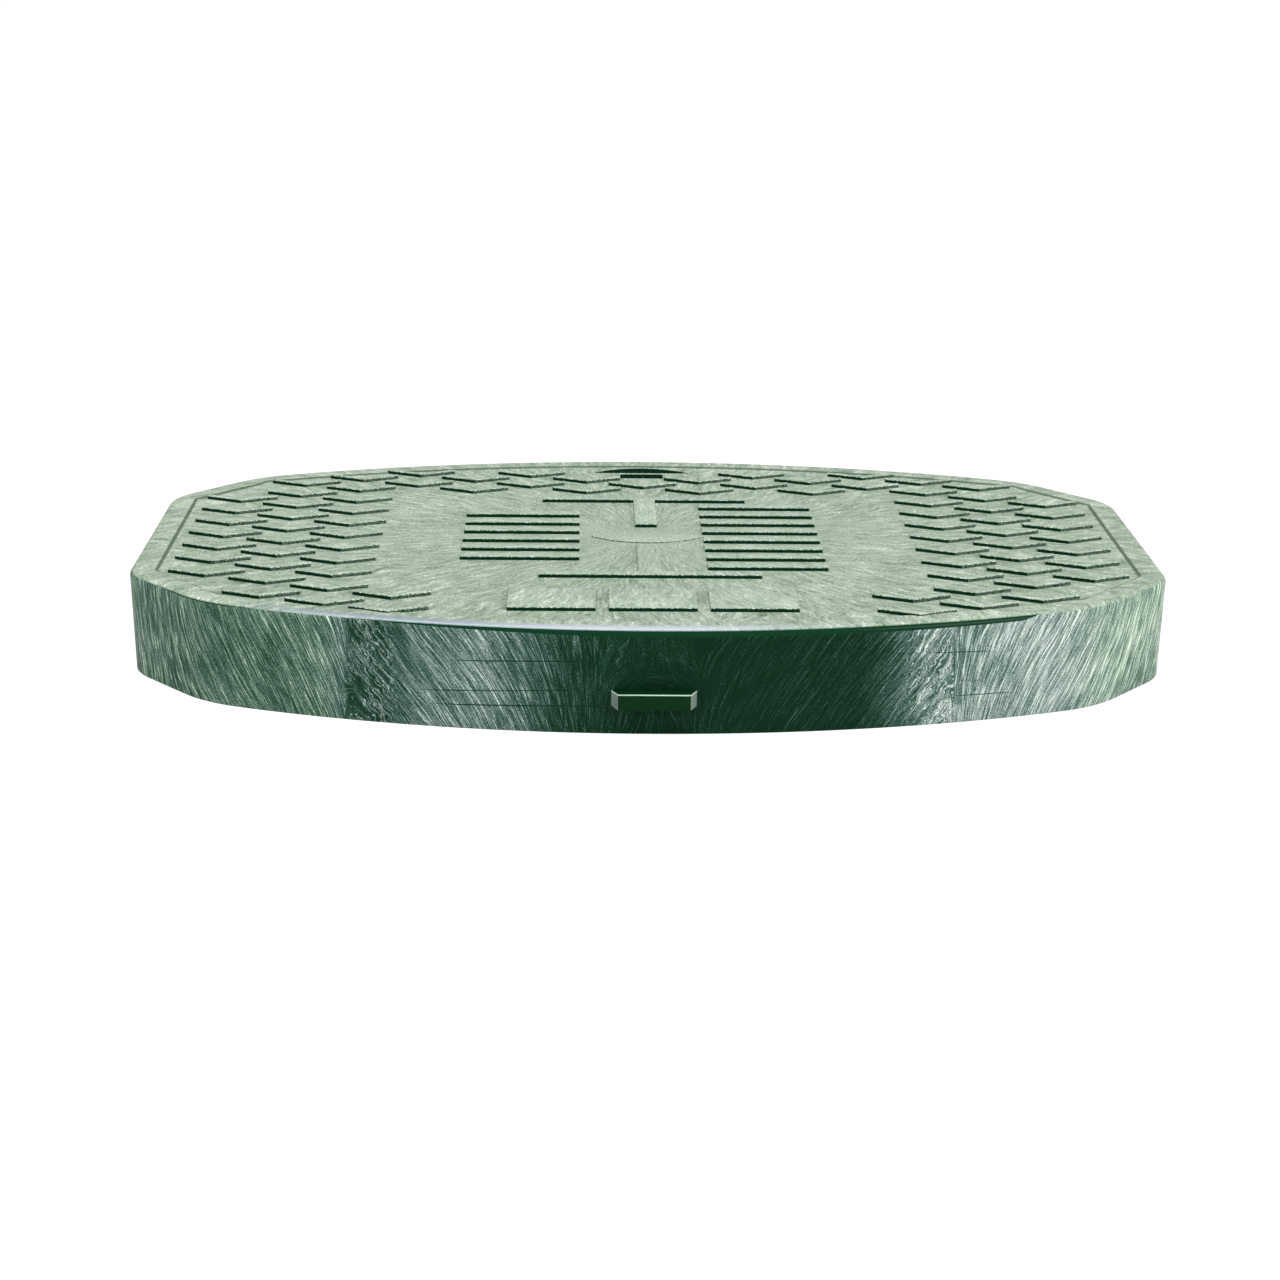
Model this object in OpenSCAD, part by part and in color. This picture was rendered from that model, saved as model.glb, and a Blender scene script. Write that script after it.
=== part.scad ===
// Valve box cover: one moulded piece with a raised rim, chevron treads and a ribbed underside.
// Millimetres, Z up. The origin is the middle of the skirt's lower edge, where the cover rests.
// X runs along the length, Y runs from the latch tab (front) to the finger hole (back).

/* [Cover] */
// overall length between the flat ends
length = 427; // [412:1:442]
// overall width between the middles of the bowed long sides
width = 295; // [288:1:302]
// height from the skirt's lower edge to the top of the rim
body_h = 42.5; // [38:0.5:50]
// where each cut corner meets the bowed long side, from the middle along X
corner_x = 179.5; // [172:0.5:184]
// where each cut corner meets the bowed long side, from the middle along Y
corner_y = 109; // [104:0.5:112]
// half length of each flat end
end_half = 67; // [60:0.5:74]
// rounding of the upright corners where a cut corner meets a flat end
end_r = 32; // [20:0.5:40]
// rounding of the upright corners where a cut corner meets a bowed long side
side_r = 60; // [40:1:70]
// rounding of the top outer edge
edge_r = 3; // [1.5:0.5:4]
// how far the skirt draws in from top to bottom
draft_in = 1.5; // [0.5:0.1:3]

/* [Rim and plate] */
// width of the raised rim round the field
lip_w = 11.5; // [10:0.5:13]
// how far the field lies below the rim
lip_step = 0.7; // [0.4:0.1:1.2]
// rounding of the field's corners at the flat ends
lip_end_r = 18; // [10:0.5:24]
// rounding of the field's corners at the bowed long sides
lip_side_r = 48; // [30:1:60]
// thickness of the top plate, measured at the rim
plate_t = 5.5; // [4.5:0.1:7]
// thickness of the skirt at the top, before the draft thins it
wall = 5.5; // [5:0.1:7]

/* [Treads] */
// height of the raised shapes above the field
relief = 1.5; // [1:0.1:2]
// width of one chevron along X
tread_w = 31.4; // [29:0.1:32]
// how far the point of a chevron drops toward the front
tread_drop = 7.5; // [6:0.1:8]
// thickness of a chevron's band along Y
tread_band = 6.5; // [5:0.1:6.8]
// spacing of the chevron columns
tread_pitch = 25.9; // [25.5:0.05:26.4]
// half the spacing of the chevrons within a column
tread_half_row = 10.8; // [10.7:0.05:11]

/* [Bars and pads] */
// length of the two cross bars
bar_len = 91.5; // [80:0.5:96]
// width of the cross bars along Y
bar_w = 6; // [4:0.5:9]
// width of the stem on each cross bar
stem_w = 9.6; // [6:0.2:12]
// distance from the middle to the near side of each cross bar
bar_y = 63; // [60:0.5:66]
// distance from the middle to the end of each stem
stem_y = 17; // [15:0.5:22]
// middle of the left group of plain bars, from the centre line
left_x = 54; // [53:0.5:56]
// middle of the right group of plain bars, from the centre line
right_x = 49; // [48:0.5:52]
// length of the plain bars in both groups
group_bar = 50; // [44:0.5:52]
// width of the plain bars in both groups
group_bar_w = 7; // [5:0.5:8]
// spacing of the plain bars
group_pitch = 15; // [14:0.5:16]
// width of each of the three plain pads at the front
pad_w = 35; // [30:0.5:37]
// depth of the pads along Y
pad_d = 29; // [24:0.5:31]
// spacing of the pads
pad_pitch = 40; // [39:0.5:42]
// distance from the middle of the cover to the middle of the pads
pad_y = 105; // [103:0.5:108]
// length of the shallow lens-shaped mark in the middle
mark_len = 48; // [36:1:52]
// depth of the lens-shaped mark along Y
mark_d = 22; // [16:1:24]
// height of the lens-shaped mark above the field
mark_h = 0.4; // [0.2:0.1:0.6]

/* [Finger hole and tab] */
// width of the slot through the plate
slot_w = 20; // [16:0.5:20]
// depth of the slot along Y
slot_d = 8.5; // [7:0.5:9]
// distance from the middle of the cover to the slot's front side
slot_y = 112.5; // [112:0.5:113]
// width of the bar between the slot and the finger pocket
hook_bar = 2.5; // [2:0.1:3]
// width of the finger pocket
pocket_w = 45; // [40:0.5:48]
// reach of the pocket's round side behind the hook bar
pocket_reach = 10; // [8:0.5:10.5]
// depth of the pocket below the field
pocket_deep = 3; // [2:0.1:3.2]
// width of the latch tab where it leaves the skirt
tab_root = 33; // [28:0.5:38]
// slant of the tab's ends, on each side
tab_bevel = 2.3; // [1:0.1:4]
// how far the tab stands out of the skirt
tab_out = 5; // [4:0.5:7]
// height of the tab
tab_h = 6.5; // [5:0.5:8]
// height of the tab's underside above the skirt's lower edge
tab_z = 11.5; // [9:0.5:14]

/* [Ribs] */
// thickness of the ribs under the plate
rib_t = 3; // [2.4:0.1:4]
// depth of the ribs below the plate
rib_h = 18; // [12:0.5:22]
// spacing of the four ribs that run front to back
rib_pitch_x = 90; // [80:1:96]
// spacing of the three ribs that run along the length
rib_pitch_y = 64; // [56:1:70]

/* [Hidden] */
$fn = 96;

half_l = length / 2;
half_w = width / 2;
reach_out = 8;
overlap = 0.5;
inset_gap = 0.02;
eps = 0.5;

field_z = body_h - lip_step;
tread_z = field_z + relief;
plate_low = body_h - plate_t;

// The bowed side is one arc through the side's middle and both corner points.
rise = half_w - corner_y;
arc_r = (corner_x * corner_x + rise * rise) / (2 * rise);
arc_back = arc_r - half_w;

// Outward normal of the cut corner in the first quadrant, and its distance from the middle.
cut_len = norm([half_l - corner_x, corner_y - end_half]);
cut_n = [(corner_y - end_half) / cut_len, (half_l - corner_x) / cut_len];
cut_k = cut_n[0] * corner_x + cut_n[1] * corner_y;
cut_angle = atan2(cut_n[1], cut_n[0]);

// Middle of a rounding of radius r inside the outline drawn in by d, where cut and arc meet.
function arc_seat(d, r) =
    let(m = cut_k - d - r)
    let(along = m + arc_back * cut_n[1])
    let(side = sqrt(pow(arc_r - d - r, 2) - along * along))
    [along * cut_n[0] - side * cut_n[1], side * cut_n[0] + along * cut_n[1] - arc_back];

// The same where the cut corner meets the flat end.
function end_seat(d, r) =
    let(x = half_l - d - r)
    [x, (cut_k - d - r - cut_n[0] * x) / cut_n[1]];

// Direction from the bowed side's middle point of curvature to a seat.
function seat_angle(p) = atan2(p[1] + arc_back, p[0]);

// One quarter of the region that a rounding removes, between two directions.
module corner_waste(p, r, a0, a1) {
    reach = 3 * r;
    mid = (a0 + a1) / 2;
    far = reach / cos((a1 - a0) / 2);
    difference() {
        polygon([
            p,
            p + reach * [cos(a0), sin(a0)],
            p + far * [cos(mid), sin(mid)],
            p + reach * [cos(a1), sin(a1)]
        ]);
        translate(p) circle(r = r * 1.0015);
    }
}

module both_x() {
    children();
    mirror([1, 0, 0]) children();
}

module both_y() {
    children();
    mirror([0, 1, 0]) children();
}

// The cover's outline drawn in by d, with sharp corners.
module sharp_outline(d) {
    cut_end = (cut_k - d - cut_n[0] * (half_l - d)) / cut_n[1];
    cut_side = (cut_k - d - cut_n[1] * half_w) / cut_n[0];
    intersection() {
        translate([0, -arc_back]) circle(r = arc_r - d, $fn = 256);
        translate([0, arc_back]) circle(r = arc_r - d, $fn = 256);
        polygon([
            [half_l - d, -cut_end],
            [half_l - d, cut_end],
            [cut_side, half_w],
            [-cut_side, half_w],
            [d - half_l, cut_end],
            [d - half_l, -cut_end],
            [-cut_side, -half_w],
            [cut_side, -half_w]
        ]);
    }
}

// The outline drawn in by d, with its corners rounded at the ends and at the long sides.
module round_outline(d, at_end, at_side) {
    side = arc_seat(d, at_side);
    end = end_seat(d, at_end);
    difference() {
        sharp_outline(d);
        both_x() both_y() {
            corner_waste(side, at_side, cut_angle, seat_angle(side));
            corner_waste(end, at_end, 0, cut_angle);
        }
    }
}

// Section of what is cut away outside the skirt: x = 0 is the outline, y is height.
// It leaves the drafted wall and the rounded top edge.
module edge_waste() {
    slant = norm([body_h, draft_in]);
    round_x = -edge_r * (slant + draft_in) / body_h;
    round_y = body_h - edge_r;
    tilt = -atan2(draft_in, body_h);
    below = -draft_in * (body_h + 1) / body_h;
    difference() {
        polygon([
            [below, -1],
            [reach_out, -1],
            [reach_out, body_h + 1],
            [round_x, body_h + 1],
            [round_x, round_y],
            [round_x + edge_r * cos(tilt), round_y + edge_r * sin(tilt)]
        ]);
        translate([round_x, round_y]) circle(r = edge_r * 1.0015);
    }
}

// The section carried along a straight run of the outline that starts at p.
module straight_waste(p, angle, run) {
    translate([p[0], p[1], 0])
        rotate([0, 0, angle])
            rotate([90, 0, 0])
                translate([0, 0, -run - overlap])
                    linear_extrude(run + 2 * overlap)
                        edge_waste();
}

// The section carried round an upright corner of radius r.
module round_waste(p, r, a0, a1) {
    translate([p[0], p[1], 0])
        rotate([0, 0, a0])
            rotate_extrude(angle = a1 - a0)
                translate([r - inset_gap, 0])
                    edge_waste();
}

module all_waste() {
    side = arc_seat(0, side_r);
    end = end_seat(0, end_r);
    side_a = seat_angle(side);
    cut_from = end + end_r * cut_n;
    cut_to = side + side_r * cut_n;
    extra = overlap / arc_r * 180 / PI;
    both_x() {
        straight_waste([half_l, -end[1]], 0, 2 * end[1]);
        both_y() {
            round_waste(end, end_r, 0, cut_angle);
            straight_waste(cut_from, cut_angle, norm(cut_to - cut_from));
            round_waste(side, side_r, cut_angle, side_a);
        }
    }
    both_y()
        translate([0, -arc_back, 0])
            rotate([0, 0, side_a - extra])
                rotate_extrude(angle = 180 - 2 * side_a + 2 * extra, $fn = 256)
                    translate([arc_r, 0])
                        edge_waste();
}

// The moulded shell: drafted skirt, rounded edge, plate and rim, hollow below.
module shell() {
    difference() {
        linear_extrude(body_h)
            sharp_outline(0);
        all_waste();
        translate([0, 0, -1])
            linear_extrude(plate_low + 1)
                round_outline(wall, end_r - wall, side_r - wall);
        translate([0, 0, field_z])
            linear_extrude(lip_step + 1)
                round_outline(lip_w, lip_end_r, lip_side_r);
    }
}

module ribs() {
    intersection() {
        union() {
            for (i = [-1.5 : 1 : 1.5])
                translate([i * rib_pitch_x - rib_t / 2, -half_w, plate_low - rib_h])
                    cube([rib_t, width, rib_h + 1]);
            for (i = [-1 : 1 : 1])
                translate([-half_l, i * rib_pitch_y - rib_t / 2, plate_low - rib_h])
                    cube([length, rib_t, rib_h + 1]);
        }
        translate([0, 0, 1])
            linear_extrude(body_h - 2)
                sharp_outline((draft_in + wall) / 2);
    }
}

// One chevron: the ends of its front edge lie on y = 0, and its point drops toward the front.
module chevron() {
    w = tread_w / 2;
    translate([0, 0, field_z - eps])
        linear_extrude(relief + eps)
            polygon([
                [-w, 0],
                [0, -tread_drop],
                [w, 0],
                [w, tread_band],
                [0, tread_band - tread_drop],
                [-w, tread_band]
            ]);
}

// A column of chevrons, in half rows counted from the middle of the cover.
module chevron_column(column, first, last) {
    for (row = [first : 2 : last])
        translate([column * tread_pitch, row * tread_half_row, 0])
            chevron();
}

module treads() {
    both_x() {
        chevron_column(7, -6, 6);
        chevron_column(6, -9, 9);
        chevron_column(5, -10, 10);
        chevron_column(4, -11, -9);
        chevron_column(4, 9, 11);
        chevron_column(3, 8, 10);
        chevron_column(2, 9, 11);
        chevron_column(1, 8, 10);
    }
    chevron_column(0, 9, 9);
}

module raised_box(x, y, w, d, h) {
    translate([x - w / 2, y - d / 2, field_z - eps])
        cube([w, d, h + eps]);
}

module bars_and_pads() {
    for (side = [-1, 1]) {
        raised_box(0, side * (bar_y + bar_w / 2), bar_len, bar_w, relief);
        raised_box(0, side * (bar_y + stem_y + 1) / 2, stem_w, bar_y - stem_y + 1, relief);
    }
    for (i = [-2.5 : 1 : 2.5])
        raised_box(-left_x, i * group_pitch, group_bar, group_bar_w, relief);
    for (i = [-3.5 : 1 : 3.5])
        raised_box(right_x, i * group_pitch, group_bar, group_bar_w, relief);
    for (i = [-1 : 1 : 1])
        raised_box(i * pad_pitch, -pad_y, pad_w, pad_d, relief);
}

// Two equal arcs that meet in a point at either end.
module lens_mark() {
    half = mark_len / 2;
    deep = mark_d / 2;
    mark_r = (half * half + deep * deep) / (2 * deep);
    translate([0, 0, field_z - eps])
        linear_extrude(mark_h + eps)
            intersection() {
                translate([0, deep - mark_r]) circle(r = mark_r);
                translate([0, mark_r - deep]) circle(r = mark_r);
            }
}

module latch_tab() {
    root = tab_root / 2;
    front = root - tab_bevel;
    inner = (draft_in + wall) / 2 - half_w;
    translate([0, 0, tab_z])
        linear_extrude(tab_h)
            polygon([
                [-root, inner],
                [-root, draft_in / 2 - half_w],
                [-front, -half_w - tab_out],
                [front, -half_w - tab_out],
                [root, draft_in / 2 - half_w],
                [root, inner]
            ]);
}

module finger_slot() {
    translate([-slot_w / 2, slot_y, plate_low - 1])
        cube([slot_w, slot_d, plate_t + relief + 2]);
}

// The pocket behind the hook bar: straight in front, one arc behind.
module finger_pocket() {
    front = slot_y + slot_d + hook_bar;
    half = pocket_w / 2;
    pocket_r = (half * half + pocket_reach * pocket_reach) / (2 * pocket_reach);
    translate([0, 0, field_z - pocket_deep])
        linear_extrude(pocket_deep + relief + 2)
            intersection() {
                translate([0, front + pocket_reach - pocket_r]) circle(r = pocket_r);
                translate([-half - 1, front]) square([2 * half + 2, pocket_reach + 1]);
            }
}

module cover() {
    color([0.10, 0.28, 0.17])
        difference() {
            union() {
                shell();
                ribs();
                treads();
                bars_and_pads();
                lens_mark();
                latch_tab();
            }
            finger_slot();
            finger_pocket();
        }
}

cover();
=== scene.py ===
"""Valve box cover of green moulded plastic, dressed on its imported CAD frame."""
import math

import bmesh
import bpy
from mathutils import Matrix, Vector


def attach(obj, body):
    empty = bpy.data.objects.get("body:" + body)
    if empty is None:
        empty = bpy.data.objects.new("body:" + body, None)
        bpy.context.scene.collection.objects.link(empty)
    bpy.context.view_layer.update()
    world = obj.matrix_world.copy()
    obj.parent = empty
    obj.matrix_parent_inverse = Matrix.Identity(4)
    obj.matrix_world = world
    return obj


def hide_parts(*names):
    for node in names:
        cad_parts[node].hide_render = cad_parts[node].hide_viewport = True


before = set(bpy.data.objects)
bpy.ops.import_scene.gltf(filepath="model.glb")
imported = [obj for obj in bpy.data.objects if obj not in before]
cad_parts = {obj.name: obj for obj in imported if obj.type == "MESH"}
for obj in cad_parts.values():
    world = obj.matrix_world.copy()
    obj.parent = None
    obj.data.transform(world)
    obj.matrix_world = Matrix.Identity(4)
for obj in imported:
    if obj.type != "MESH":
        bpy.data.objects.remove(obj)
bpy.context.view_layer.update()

MM = 0.001              # a millimetre in metres
TO_MM = 1000.0          # a metre in millimetres

# Sizes of the moulding in millimetres, as in the part's source.
LENGTH = 427.0          # between the flat ends
WIDTH = 295.0           # between the middles of the bowed long sides
BODY_H = 42.5           # from the skirt's lower edge to the rim
CORNER_X = 179.5        # where a cut corner meets a bowed side, along X
CORNER_Y = 109.0        # the same place along Y
END_HALF = 67.0         # half of a flat end
END_R = 32.0            # rounding between a cut corner and a flat end
SIDE_R = 60.0           # rounding between a cut corner and a bowed side
EDGE_R = 3.0            # rounding of the top outer edge
DRAFT_IN = 1.5          # how far the skirt draws in from top to bottom
WALL = 5.5              # thickness of the skirt
PLATE_T = 5.5           # thickness of the top plate at the rim
LIP_W = 11.5            # width of the rim round the field
LIP_STEP = 0.7          # how far the field lies below the rim
LIP_END_R = 18.0        # rounding of the field's corners at the flat ends
LIP_SIDE_R = 48.0       # rounding of the field's corners at the bowed sides

RELIEF = 1.5            # height of the raised shapes above the field
TREAD_W = 31.4          # width of a chevron
TREAD_DROP = 7.5        # how far its point drops toward the front
TREAD_PITCH = 25.9      # spacing of the columns
TREAD_HALF_ROW = 10.8   # half the spacing of the chevrons in a column
BAR_LEN = 91.5          # length of the two cross bars
BAR_W = 6.0             # their width
BAR_Y = 63.0            # from the middle to the near side of a cross bar
STEM_W = 9.6            # width of the stem on each cross bar
STEM_Y = 17.0           # from the middle to the end of a stem
LEFT_X, RIGHT_X = 54.0, 49.0      # middles of the two groups of plain bars
LEFT_BARS, RIGHT_BARS = 6, 8      # how many bars each group has
GROUP_BAR = 50.0        # length of a plain bar
GROUP_BAR_W = 7.0       # width of a plain bar
GROUP_PITCH = 15.0      # spacing of the plain bars
PAD_W, PAD_D = 35.0, 29.0         # size of the plain pads at the front
PAD_PITCH = 40.0        # spacing of the pads
PAD_Y = 105.0           # from the middle to the middle of the pads
MARK_LEN, MARK_D = 48.0, 22.0     # size of the lens-shaped mark
MARK_H = 0.4            # height of the mark above the field

SLOT_W, SLOT_D = 20.0, 8.5        # size of the finger slot
SLOT_Y = 112.5          # from the middle to the slot's front side
HOOK_BAR = 2.5          # width of the bar between the slot and the pocket
POCKET_W = 45.0         # width of the finger pocket
POCKET_REACH = 10.0     # reach of its round side behind the hook bar
POCKET_DEEP = 3.0       # how deep it is below the field
TAB_ROOT = 33.0         # width of the latch tab at the skirt
TAB_BEVEL = 2.3         # slant of its ends, on each side
TAB_OUT = 5.0           # how far it stands out of the skirt
TAB_H = 6.5             # height of the tab
TAB_Z = 11.5            # height of its underside
RIB_T = 3.0             # thickness of the ribs
RIB_H = 18.0            # depth of the ribs below the plate
RIB_PITCH_X = 90.0      # spacing of the ribs that run front to back
RIB_PITCH_Y = 64.0      # spacing of the ribs that run along the length

# Sizes in millimetres that this scene sets itself.
TREAD_BAND = 3.2        # a chevron from front to back, thinner than in the part's source
SINK = 0.5              # how deep raised shapes reach into the field, and ribs into the plate
RIB_TUCK = 2.0          # how far the ribs reach into the skirt
FOOT_SOFT = 0.4         # rounding of the skirt's lower edge
STEP_HALF = 0.9         # half the width of the soft step from rim to field
STEP_CORE = 0.4         # half the width of its steep middle
STEP_EASE = 0.14        # how much of its height lies outside the steep middle
RAISED_SOFT, MARK_SOFT, TAB_SOFT, RIB_SOFT = 0.22, 0.15, 0.5, 0.4     # softened edges
CUT_OVER, CUT_UNDER = 5.0, 1.0    # how far cutting shapes pass the rim and the plate
WELD_GAP = 0.01         # points closer than this are one

# Steps on the stretches of a quarter of the outline, on the rounded edge and on a bow.
END_FLAT, END_ARC, SIDE_ARC, LONG_ARC, EDGE_ARC, BOW_ARC = 6, 12, 16, 48, 12, 24

HALF_L, HALF_W = LENGTH / 2, WIDTH / 2
FIELD_Z = BODY_H - LIP_STEP
PLATE_LOW = BODY_H - PLATE_T

# Columns of chevrons: column number, first and last half row.
TREAD_COLUMNS = [(7, -6, 6), (6, -9, 9), (5, -10, 10), (4, -11, -9),
                 (4, 9, 11), (3, 8, 10), (2, 9, 11), (1, 8, 10)]
MIDDLE_COLUMN = (0, 9, 9)

# Photograph's camera, fitted to the treads and the outline (millimetres).
EYE = (-29.1, -1191.0, 341.4)
AIM_RIGHT = (0.99975, -0.01908, 0.01148)
AIM_DOWN = (0.00570, -0.27902, -0.96027)
AIM_FORWARD = (0.02153, 0.96010, -0.27884)
FOCAL_PX, FRAME_PX = 2845.0, 1280.0
SENSOR_MM = 36.0
SEEN_FROM, SEEN_TO = 0.05, 100.0  # nearest and farthest distance seen, in metres

# Floor, world and lamps, in metres and watts.
FLOOR_W = 32.0
FLOOR_GREY = (0.88, 0.88, 0.88, 1.0)
FLOOR_WHITE, WHITE_SHARE = 1.17, 0.8      # white that the camera sees on the floor
WORLD_LIGHT, WORLD_WHITE = 0.42, 1.0
# Each softbox: name, place, aim, width, height, watts.
SOFTBOXES = [("overhead", (-0.1, -0.2, 1.6), (0, 0, 0), 1.6, 1.0, 24),
             ("right_front", (1.3, -1.3, 0.9), (0.05, 0, 0.02), 0.9, 0.7, 20),
             ("left_front", (-1.4, -1.1, 0.7), (-0.05, 0, 0.02), 0.6, 0.6, 9)]

# Colours by value, dark to pale.
SKIRT_COLORS = [(0.0, (0.002, 0.018, 0.007)), (0.22, (0.008, 0.042, 0.020)),
                (0.45, (0.058, 0.110, 0.093)), (0.70, (0.22, 0.295, 0.268)),
                (1.0, (0.64, 0.72, 0.65))]
# The top's pale colours are partly the plastic's own paler skin and partly painted sheen of the
# overhead lamp.
TOP_COLORS = [(0.0, (0.05, 0.10, 0.06)), (0.35, (0.21, 0.285, 0.205)),
              (0.65, (0.37, 0.44, 0.35)), (1.0, (0.72, 0.77, 0.68))]
# Dark green of the smooth band under the front edge, with painted dark reflection.
BAND_DARK_REFLECTION = (0.004, 0.034, 0.014)
WARM_TINT = (1.0, 1.07, 0.92)
# Painted highlight colours of the front edge, bright, dim and on its lower turn.
SILVER_EDGE_HIGHLIGHT = (0.48, 0.52, 0.58)
DULL_EDGE_HIGHLIGHT = (0.25, 0.30, 0.37)
LOW_EDGE_HIGHLIGHT = (0.17, 0.22, 0.28)
# Painted shade on the step from rim to field.
STEP_PAINTED_SHADE = (0.06, 0.10, 0.07)
DARK_SIDE = (0.002, 0.022, 0.009)
# Painted light flecks on sides that face the key lamp.
PAINTED_LIT_FLECK = (0.30, 0.42, 0.33)
EDGE_GREEN = (0.05, 0.11, 0.06)
# Painted highlight flecks along the top edges.
EDGE_HIGHLIGHT_FLECK = (0.70, 0.78, 0.70)
FROST = (0.52, 0.64, 0.54)
TAB_GREEN = (0.002, 0.022, 0.005)
# Painted highlight on the tab's bevels and edges.
TAB_HIGHLIGHT_GREEN = (0.42, 0.52, 0.46)

# Curves along the skirt, from 0 at its left end to 1 at its right end. The first two points
# of each curve are its ends. LEAN is the lean of the streaks (0.5 is upright), SILVER_SHEEN how
# silvery the skin is painted, partly its streaks and partly painted sheen of the lamps at left and
# right, with a painted dark reflection where it is low in the middle, BAND how deep the smooth band
# with its painted dark reflection is and SHINE where its edge carries the painted highlight.
LEAN = [(0.0, 0.46), (1.0, 0.56), (0.06, 0.44), (0.10, 0.30), (0.15, 0.22), (0.20, 0.27),
        (0.226, 0.36), (0.234, 0.14), (0.30, 0.12), (0.37, 0.24), (0.41, 0.36), (0.44, 0.44),
        (0.455, 0.54), (0.475, 0.66), (0.50, 0.50), (0.52, 0.36), (0.535, 0.42), (0.545, 0.58),
        (0.56, 0.70), (0.62, 0.84), (0.72, 0.90), (0.762, 0.80), (0.768, 0.52),
        (0.80, 0.66), (0.86, 0.78), (0.93, 0.68)]
SILVER_SHEEN = [(0.0, 0.46), (1.0, 0.62), (0.06, 0.44), (0.12, 0.42), (0.17, 0.44), (0.215, 0.50),
          (0.227, 0.46), (0.231, 0.24), (0.26, 0.30), (0.30, 0.50), (0.35, 0.51), (0.39, 0.39),
          (0.42, 0.20), (0.45, 0.12), (0.48, 0.07), (0.53, 0.03), (0.60, 0.04), (0.68, 0.07),
          (0.71, 0.27), (0.74, 0.54), (0.765, 0.58), (0.80, 0.62), (0.85, 0.70), (0.92, 0.68)]
BAND = [(0.0, 0.0), (1.0, 0.0), (0.04, 0.0), (0.07, 0.2), (0.12, 0.2), (0.16, 0.0),
        (0.22, 0.0), (0.29, 0.3), (0.45, 0.95), (0.55, 0.95), (0.72, 0.95), (0.83, 0.75),
        (0.845, 0.0)]
SHINE = [(0.0, 0.0), (1.0, 0.0), (0.12, 0.0), (0.17, 0.5), (0.24, 0.8), (0.34, 1.0),
         (0.54, 1.0), (0.62, 0.3), (0.70, 0.0)]

# Places along the skirt, on the same scale. Each pair is where a soft step is 0 and where
# it is 1, and two pairs are where it rises and where it falls.
LEFT_CURLS = ((0.228, 0.232), (0.285, 0.262))
RIGHT_CURLS = ((0.71, 0.735), (0.769, 0.766))
TAB_SPAN = ((0.450, 0.465), (0.545, 0.53))
WARM_LEFT, WARM_RIGHT = (0.24, 0.20), (0.86, 0.94)
# Where the painted highlight on the front edge is at its brightest.
FULL_EDGE_HIGHLIGHT = (0.28, 0.45)

# Thin mould lines on the front, in millimetres: runs along the skirt or upright, start, stop,
# height or place of its start, slope, strength.
MOULD_LINES = [(True, -82, -26, 27.5, 0.035, 0.9), (True, -98, -31, 14.5, 0.045, 0.6),
               (True, -90, -19.5, 9.3, 0.03, 1.0), (True, 104, 131, 30.0, -0.05, 0.5),
               (True, 116, 141, 11.3, -0.02, 0.5), (True, 118, 130, 17.3, -0.03, 0.2),
               (False, 11, 17.5, -19.5, 0.0, 0.9), (False, 31, 38.5, -26.3, 0.0, 0.9),
               (False, 5, 36, 118.0, -0.03, 0.45)]
LINE_SIDE, LINE_CORE = 0.35, 0.05         # half widths at which a line ends and is full
LINE_FADE, LINE_STOP = 0.3, 2.0           # share of its length and length that fade out

# Heights and distances on the skirt, in metres, as single values or as soft steps.
SKIRT_SPAN = 440 * MM                     # length that the curves cover
LEAN_Z = 21 * MM                          # height at which leaning streaks are in place
OVER_TAB_Z = (20 * MM, 28 * MM)           # curled streaks start above the tab
ARCH_Z = 10 * MM                          # middle of the arches over the tab
ARCH_REACH, ARCH_START_Z = (26 * MM, 20 * MM), (14 * MM, 20 * MM)
BAND_TOP, BAND_DEPTH = 41.7 * MM, 2.4 * MM
BAND_EDGE = (-0.1 * MM, 0.1 * MM)

# Soft steps on how far a place lies inside the outline, in millimetres.
STEP_SHADE = ((LIP_W - 0.9, LIP_W - 0.3), (LIP_W + 1.1, LIP_W + 0.4))
EDGE_ZONE = (6.6, 3.6)


# Outline

def bow_radius(half, rise):
    """Radius of an arc that rises over the middle of a chord, from half the chord."""
    return (half ** 2 + rise ** 2) / (2 * rise)


def cut_normal():
    """Outward normal of the cut corner and its distance from the middle."""
    run, drop = HALF_L - CORNER_X, CORNER_Y - END_HALF
    size = math.hypot(run, drop)
    nx, ny = drop / size, run / size
    return nx, ny, nx * CORNER_X + ny * CORNER_Y


ARC_R = bow_radius(CORNER_X, HALF_W - CORNER_Y)
ARC_BACK = ARC_R - HALF_W
CUT_NX, CUT_NY, CUT_K = cut_normal()
CUT_ANGLE = math.atan2(CUT_NY, CUT_NX)


def fan(middle, radius, start, stop, steps):
    """Points of an arc, both ends among them."""
    return [(middle[0] + radius * math.cos(start + (stop - start) * i / steps),
             middle[1] + radius * math.sin(start + (stop - start) * i / steps))
            for i in range(steps + 1)]


def bow(half, rise, base=0.0):
    """Points of an arc that bows back over a chord at y = base, from right to left."""
    radius = bow_radius(half, rise)
    sweep = math.asin(half / radius)
    return fan((0, base + rise - radius), radius,
               math.pi / 2 - sweep, math.pi / 2 + sweep, BOW_ARC)


def rectangle(x, y, w, d):
    """Corners of a rectangle round a middle."""
    return [(x - w / 2, y - d / 2), (x + w / 2, y - d / 2),
            (x + w / 2, y + d / 2), (x - w / 2, y + d / 2)]


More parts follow.
